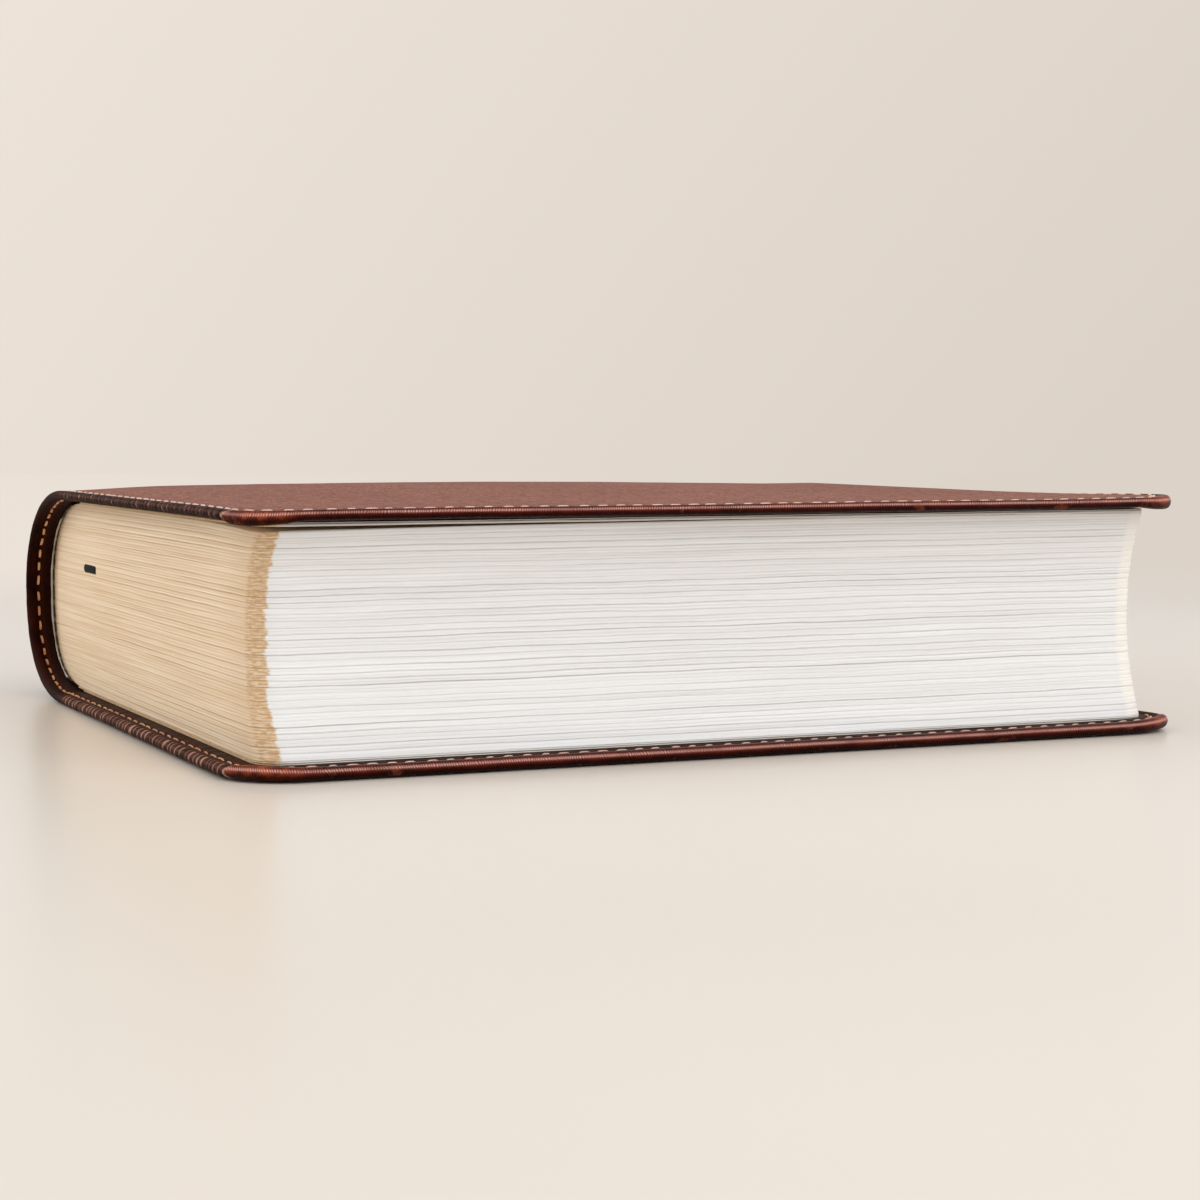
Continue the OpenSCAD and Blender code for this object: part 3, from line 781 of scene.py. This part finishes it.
def stiffener(half, start, end, corner_r):
    """Sheet between leather and lining, from start to end, short of the seam."""
    reach = EDGE_Y - BOARD_IN - corner_r
    plate = Plate(knots(start, end - corner_r, 3.0), knots(-reach, reach, 3.0), corner_r, 4)
    (s0, y0, way, _, inset, _), faces = plate.build([(1, 0.0)])
    radius = corner_r - inset
    s, y = s0 + radius * np.cos(way), y0 + radius * np.sin(way)
    depths = 0.85, COVER_T - (0.55 if start > 0 else 0.95)
    return closed(*(jacket_point(half, s, y, np.full(len(s), deep)) for deep in depths), faces)


def add_stiffeners():
    """Board of each cover and the flexible inlay of the spine, all three inside the jacket."""
    card = card_material()
    spine_points, spine_faces, count = [], [], 0
    for half in (FRONT, BACK):
        points, faces = stiffener(half, JOINT_W, COVER_W - BOARD_IN, 8.0)
        board = add_piece(NAMES[half] + "_stiffener", points, faces, card, half == BACK)
        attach(board, NAMES[half] + "_cover")
        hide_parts(NAMES[half] + "_board")
        points, faces = stiffener(half, -ARC[half][0][-1] - HINGE_GAP / 2, -0.4, 0.001)
        faces = [f[::-1] for f in faces] if half == BACK else faces
        spine_faces += [tuple(i + count for i in f) for f in faces]
        spine_points.append(points)
        count += len(points)
    inlay = add_piece("spine_stiffener", np.concatenate(spine_points), spine_faces, card)
    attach(inlay, "text_block")
    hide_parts("spine_inlay")


def threads(half, material):
    """Every stitch of one half, outside and inside, as a short tube whose ends dip into the leather."""
    s_at, y_at, way_at, u_at = PLATES[half].columns(4)
    sides = 8
    t, psi = np.meshgrid(np.linspace(-1, 1, 9), np.linspace(0, 2 * math.pi, sides + 1)[:-1], indexing="ij")
    t, psi = t.ravel(), psi.ravel()
    shape = np.sqrt(np.clip(1.02 - t ** 6, 0, 1))
    faces, points, lengths, rounds, worn = [], [], [], [], []
    pattern = [
        (i + j, i + sides + j, i + sides + (j + 1) % sides, i + (j + 1) % sides)
        for i in range(0, t.size - sides, sides) for j in range(sides)
    ]
    pattern += [tuple(range(sides)), tuple(range(t.size - 1, t.size - sides - 1, -1))]
    for face in (0, 1):
        for number, (middle, reach) in enumerate(STITCHES[half]):
            slant = 0.10 * math.sin(number * 2.4 + face)
            u = middle + t * reach
            s0, y0, way = (np.interp(u, u_at, at) for at in (s_at, y_at, way_at))
            fore = smooth(np.cos(way), 0.3, 0.8)
            radius = THREAD_R * shape * (1 - 0.35 * face * (1 - fore) * smooth(s0, -2, 6))
            inset = seam_in(half, u) + slant * t + radius * np.sin(psi)
            middle_d = CHANNEL_D * (0.7 if face else 0.45) + 0.45 * np.abs(t) ** (3.5 if face else 6)
            depth = middle_d - 0.8 * radius * np.cos(psi)
            s, y = edge_place(s0, y0, way, inset)
            start = len(points) * t.size
            under = COVER_T - pared(half, s, inset) + 0.03
            points.append(jacket_point(half, s, y, under - depth if face else depth))
            turned = (half == BACK) != bool(face)
            for f in pattern:
                moved = tuple(i + start for i in f)
                faces.append(moved[::-1] if turned else moved)
            lengths.append(t * reach * MM)
            rounds.append(psi / (2 * math.pi))
            # Share of the paler colour, partly wear and partly painted highlight: all of it outside, most of
            # it inside along the fore edge
            worn.append(np.maximum(1.0 - face, 0.85 * fore))
    return add_piece(
        NAMES[half] + "_thread", np.concatenate(points), faces, material,
        along=np.concatenate(lengths), around=np.concatenate(rounds), worn=np.concatenate(worn),
    )


def add_jacket():
    outer = face_leather("cover_leather", srgb(184, 126, 105), srgb(140, 85, 68), srgb(92, 48, 38))
    edge = edge_leather()
    inner = face_leather("lining_leather", srgb(72, 37, 25), srgb(50, 23, 15), srgb(34, 13, 8), 1500.0)
    thread = thread_material()
    for half in (FRONT, BACK):
        name = NAMES[half]
        pieces = [
            (leather_skin(half, outer, edge), "leather", "leather"),
            (lining_skin(half, inner), "lining", "lining"),
            (threads(half, thread), "stitching", "thread"),
        ]
        for piece, what, slot in pieces:
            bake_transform(piece)
            replaced = [name + "_" + what] + (["spine_" + what] if half == FRONT else [])
            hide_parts(*replaced)


# Pages


def block_back(z):
    """X of the back of the pages at the heights z."""
    up = (z - MID_Z) / BLOCK_HALF
    n = np.where(up > 0, 2.3, 2.8)
    return SPINE_CX - (SPINE_A - BLOCK_IN) * np.clip(1 - np.abs(up) ** n, 0, 1) ** (1 / n)


def hollow(z):
    """How far the fore edge lies in at the heights z."""
    return FORE_HOLLOW * (1 - ((z - MID_Z) / BLOCK_HALF) ** 2)


def page_rows():
    """Leaf number, draw-in, painted line (shade where positive, highlight where negative) and share of the
    height of each row, bottom up.
    """
    rng = np.random.default_rng(4)
    heights = rng.uniform(0.8, 1.2, SECTIONS)
    edges = np.concatenate([[0], np.cumsum(heights)]) / heights.sum()
    nick = rng.uniform(0.03, 0.2, SECTIONS + 1)
    middle = rng.uniform(0.0, 0.07, SECTIONS)
    rows = []
    for i in range(SECTIONS):
        out = rng.uniform(-0.07, 0.07)
        half_line = 0.25 + 0.75 * rng.uniform()
        line, above = (0.4 + 0.6 * nick[k] / 0.2 for k in (i, i + 1))
        # A nick at either end of the section and a shallow one at its middle, with painted shade in each and
        # a painted highlight beside it
        for part, draw, shade_and_highlight in (
            (0.0, nick[i], line), (0.07, 0.55 * nick[i], 0.55 * line), (0.2, 0.12 * nick[i], -0.9 * line),
            (0.42, 0.0, 0.0), (0.52, middle[i], 0.45 * half_line), (0.62, 0.0, -0.4 * half_line),
            (0.82, 0.2 * nick[i + 1], 0.0), (0.94, 0.6 * nick[i + 1], 0.6 * above),
        ):
            rows.append((i + part, draw - out * (part > 0), shade_and_highlight, edges[i] + (edges[i + 1] - edges[i]) * part))
    rows.append((SECTIONS, nick[-1], 0.0, 1.0))
    return np.array(rows).T


BLOCK_LOW, BLOCK_TOP = 3.02, 42.95
PAGE_SIDE = 155  # about the length of the head or the tail of the pages


def add_pages():
    """The block of pages: one closed skin, with a ridge for each section round its three edges."""
    leaf, draw, shade_and_highlight, level = page_rows()
    height = BLOCK_LOW + (BLOCK_TOP - BLOCK_LOW) * level
    reach = PAGE_Y - PAGE_R
    plate = Plate(np.linspace(0, PAGE_SIDE, 75), knots(-reach, reach, 2.0), PAGE_R, 12)
    from_back, mid_y, way, u = plate.columns(1)
    share = from_back / PAGE_SIDE
    fore_from = plate.fore_from()
    fore_to = fore_from + 2 * reach
    U, L = np.meshgrid(u, leaf)
    number = np.minimum(np.floor(L), SECTIONS - 1)
    middle = np.sqrt(4 * (L / SECTIONS) * (1 - L / SECTIONS))
    calm = 0.35 + 0.65 * smooth(U, fore_from - 40, fore_from + 10)
    waves = 0.15 * drift(U + 3.0 * L, 21, 70.0) + 0.05 * drift(U - 7.0 * L, 22, 23.0)
    # The top sections sag towards the near corner and along the fore edge from there
    along_fore = smooth(U, fore_from - 20, fore_from) * smooth(-U, -fore_from - 110, -fore_from - 40)
    sagging = 0.55 * bell(U, fore_from - 4, 26) + 0.28 * along_fore
    Z = height[:, None] + middle * calm * waves - sagging * smooth(L, SECTIONS - 6, SECTIONS)
    drawn_in = draw[:, None] * (0.55 + 0.45 * smooth(U, fore_from - 8, fore_from))
    out = 0.05 * drift(U + 40 * number, 23, 34.0) - drawn_in
    back = block_back(np.clip(height, MID_Z - 20, MID_Z + 20))[:, None]
    right = (PAGE_X - hollow(height) - PAGE_R)[:, None]
    X = back + share * (right - back) + (PAGE_R + out) * np.cos(way)
    Y = mid_y + (PAGE_R + out) * np.sin(way)
    points = np.stack([X, Y, Z], axis=2).reshape(-1, 3)
    ids = np.arange(U.size).reshape(U.shape)
    quads = np.stack([ids[:-1, :-1], ids[:-1, 1:], ids[1:, 1:], ids[1:, :-1]], axis=2).reshape(-1, 4)
    closing = np.stack([ids[:-1, -1], ids[:-1, 0], ids[1:, 0], ids[1:, -1]], axis=1)
    faces = [tuple(q) for q in quads.tolist() + closing.tolist()]
    faces += [tuple(ids[0][::-1].tolist()), tuple(ids[-1].tolist())]
    rng = np.random.default_rng(9)
    jump = rng.normal(0, 0.16, SECTIONS)[number.astype(int)]
    outward = 1.2 * smooth(np.abs(L - SECTIONS / 2), 8, SECTIONS / 2)
    # The cream tone ends near the corners, in each section at another place
    tone = np.maximum(fore_from - 2.9 + outward + jump - U, U - fore_to - 6.7 + jump)
    piece = add_piece(
        "pages", points, faces, page_material(), leaf=L.ravel(), edge_u=U.ravel() * MM,
        tone=tone.ravel(), line=np.repeat(shade_and_highlight, len(u)), spine=np.tile(share, len(leaf)),
        head=(U - fore_to + 0.5 + 0.5 * jump).ravel(),
    )
    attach(piece, "text_block")
    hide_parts("page_block")


def add_leaf(name, z, thickness, reach_in, lift, material, node):
    """Loose leaf at an end of the block, its height given by a function of x and y."""
    reach = PAGE_Y - PAGE_R
    plate = Plate(knots(SPINE_CX - reach_in, PAGE_X - PAGE_R, 4.0), knots(-reach, reach, 4.0), PAGE_R, 5)
    rings = [(1, 2.5), (1, 0.7), (1, 0.05), (1, 0.05), (1, 0.7), (1, 4.0)]
    under = np.array([0, 0, 0, 0, 1, 1, 1])
    (x0, y0, way, u, inset, ring), faces = plate.build(rings)
    radius = PAGE_R - inset
    x, y = x0 + radius * np.cos(way), y0 + radius * np.sin(way)
    height = z + lift(x, y) - thickness * under[ring]
    fore_from = plate.fore_from()
    past = np.maximum(fore_from - 1.8 - u, u - fore_from - 2 * reach - 6.7)
    piece = add_piece(
        name, np.stack([x, y, height], axis=1), faces, material,
        edge_u=u * MM, edge_tone=smooth(past, -0.3, 0.3) * (inset < 1),
    )
    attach(piece, "text_block")
    if node:
        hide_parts(node)


def add_leaves():
    """The first and the last leaf, each with a loose section inside it, all a little wavy."""
    material = paper_material()

    def free(x):
        return smooth(x, SPINE_CX + 4, PAGE_X - 30)

    leaves = [
        # Name, height, thickness, reach round the back, waves and replaced node
        ("first_leaf", 43.62, 0.12, 2.5, lambda x, y: free(x) * 0.05 * drift(y, 31, 60.0), "front_flyleaf"),
        ("first_section", 43.42, 0.42, 4.5, lambda x, y: free(x) * 0.04 * drift(y + 11, 32, 45.0), None),
        ("last_section", 2.98, 0.26, 8.5, lambda x, y: 0.02 * drift(y + 9, 34, 50.0), None),
        (
            "last_leaf", 2.56, 0.16, 3.5,
            lambda x, y: free(x) * 0.04 * (1 + drift(y, 35, 55.0)), "back_flyleaf",
        ),
    ]
    for name, z, thickness, reach_in, lift, node in leaves:
        add_leaf(name, z, thickness, reach_in, lift, material, node)


# Spine liner, bands and ribbon


def layer_point(turn, deep):
    """X and Z on the spine, at a turn from 0 (top) to pi (bottom) and a depth under the outer face."""
    power = np.where(turn > math.pi / 2, POWER[BACK], POWER[FRONT])
    x = SPINE_CX - (SPINE_A - deep) * np.abs(np.sin(turn)) ** power
    z = MID_Z + np.sign(np.cos(turn)) * (MID_Z - deep) * np.abs(np.cos(turn)) ** power
    return x, z


def add_liner():
    """Cloth glued over the back of the pages, its cut ends a little uneven."""
    turn = np.linspace(math.radians(40), math.radians(153), 101)
    length = np.concatenate([[0], np.cumsum(np.hypot(*(np.diff(c) for c in layer_point(turn, COVER_T))))])
    hem = [(-3.0, 0.0), (0.3, 0.0), (0.6, 0.3), (0.6, 0.7), (-3.0, 1.0)]  # reach past the pages, and depth
    section = [(-1, *place) for place in hem] + [(1, *place) for place in hem[::-1]]
    outside = COVER_T - 0.36
    room = (BLOCK_IN - outside) * (1 - 0.75 * np.sin(2 * turn) ** 2)  # thinner where the jacket is tight
    points, v = [], []
    for end, out, deep in section:
        x, z = layer_point(turn, outside + room * deep)
        y = end * (PAGE_Y + out + 0.1 * drift(length, 41 + end, 9.0))
        points.append(np.stack([x, y, z], axis=1))
        v.append(y)
    piece = add_piece(
        "spine_cloth", np.concatenate(points), sleeve(len(section), len(turn)),
        cloth_material("spine_cloth", srgb(236, 222, 204), srgb(188, 172, 152), 0.5),
        edge_u=np.tile(length, len(section)) * MM, edge_v=np.concatenate(v) * MM,
    )
    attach(piece, "text_block")
    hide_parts("spine_liner")


def add_band(end, material):
    """A cord wrapped in thread, one rib for each turn of it."""
    ribs, per_rib, sides = 60, 8, 12
    turn = np.linspace(math.radians(14), math.radians(166), ribs * per_rib + 1)
    psi = np.linspace(0, 2 * math.pi, sides + 1)[:-1]
    count = np.arange(len(turn)) / per_rib
    radius = 0.28 + 0.05 * np.abs(np.sin(math.pi * count))
    points = []
    for a in psi:
        z = layer_point(turn, BLOCK_IN)[1]
        x = block_back(z) + 0.2 - radius * math.cos(a)
        y = end * (PAGE_Y + 0.1 + radius * math.sin(a))
        points.append(np.stack([x, y, z], axis=1))
    piece = add_piece(
        "head_cord" if end > 0 else "tail_cord", np.concatenate(points), sleeve(sides, len(turn)),
        material, end > 0, edge_u=np.tile(count, sides), edge_v=np.repeat(psi * 0.75 * MM, len(turn)),
    )
    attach(piece, "text_block")
    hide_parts("head_band" if end > 0 else "tail_band")


def add_ribbon():
    """Ribbon, glued at the head, run down through the pages and folded back in at the tail."""
    left, glued, z = -51.4, -79.5, MID_Z + 6.2
    tuck, half_t = RIBBON_FOLD_R - PAGE_Y, RIBBON_T / 2
    radius = RIBBON_FOLD_R - half_t
    run = np.linspace(0, 1, 40)
    path = [(glued + (left - glued) * t, PAGE_Y + (tuck - PAGE_Y) * t, z + radius) for t in run]
    path += [
        (left, tuck - (radius + 0.3) * math.sin(a) ** 0.4, z + radius * math.cos(a))
        for a in np.linspace(0, math.pi, 13)[1:]
    ]
    path += [(left, tuck + RIBBON_TUCK * t, z - radius) for t in run[1:]]
    path = np.array(path)
    ahead = np.gradient(path, axis=0)
    length = np.concatenate([[0], np.cumsum(np.linalg.norm(np.diff(path, axis=0), axis=1))])
    normal = np.stack([np.zeros(len(path)), -ahead[:, 2], ahead[:, 1]], axis=1)
    normal /= np.linalg.norm(normal, axis=1)[:, None]
    upper = [(0.0, 0.8), (0.05, 1), (RIBBON_W / 2, 1), (RIBBON_W - 0.05, 1), (RIBBON_W, 0.8)]
    section = upper + [(across, -side) for across, side in upper[::-1]]
    points = [path + [across, 0, 0] + normal * side * half_t for across, side in section]
    piece = add_piece(
        "ribbon", np.concatenate(points), sleeve(len(section), len(path)),
        cloth_material("ribbon_cloth", srgb(44, 50, 46), srgb(22, 26, 24), 0.35), flip=True,
        edge_u=np.tile(length, len(section)) * MM,
        edge_v=np.repeat([across for across, _ in section], len(path)) * MM,
    )
    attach(piece, "text_block")
    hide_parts("ribbon_marker")


# The scene


def add_floor():
    mesh = bpy.data.meshes.new("floor")
    turns = np.linspace(0, 2 * math.pi, 65)[:-1]
    rim = [(FLOOR_R * math.cos(a), FLOOR_R * math.sin(a), 0) for a in turns]
    mesh.from_pydata(rim, [], [tuple(range(len(rim)))])
    mesh.materials.append(floor_material())
    floor = add_object("floor", mesh)


scene.view_settings.view_transform = "Standard"
add_camera()
add_world()
add_floor()
add_lamp("overhead", place=(0.05, -0.05, 1.0), size=1.0, power=0.8, target_z=0)
add_lamp("window", place=(0.85, 0.25, 0.60), size=0.8, power=4.1)
add_lamp("left", place=(-0.35, -0.95, 0.45), size=0.8, power=3.2)

add_jacket()
add_stiffeners()
add_pages()
add_leaves()
add_liner()
cord = band_material()
for end in (-1, 1):
    add_band(end, cord)
add_ribbon()
